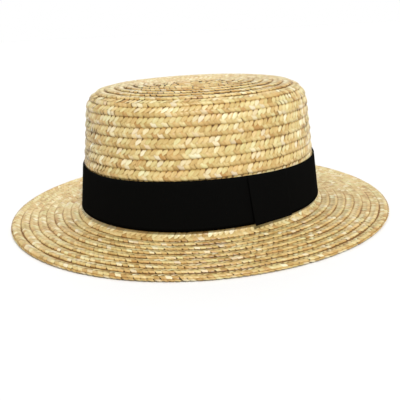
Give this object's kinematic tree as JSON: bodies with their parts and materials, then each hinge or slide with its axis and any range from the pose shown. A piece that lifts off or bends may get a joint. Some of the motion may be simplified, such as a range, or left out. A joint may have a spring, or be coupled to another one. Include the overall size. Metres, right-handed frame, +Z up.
{
  "type": "straw boater hat",
  "caption": "Straw boater of sewn plait with an oval crown, a gently crowned tip, a stiff brim with a doubled edge, and a black ribbon band with a flat tab.",
  "frame": {"origin": "on the surface that the brim's edge rests on, under the middle of the head oval", "axes": "+Z up through the tip, -Y to the wearer's front, +X to the wearer's left, where the tab is"},
  "size_m": [0.299, 0.319, 0.1067],
  "materials": {
    "straw": "satin sewn wheat-straw plait",
    "edge_straw": "satin doubled straw plait",
    "ribbon": "matt black grosgrain"
  },
  "bodies": {
    "root": {"crown": "straw", "brim": "straw", "brim_edge": "edge_straw", "hat_band": "ribbon", "band_tab": "ribbon"}
  },
  "joints": []
}
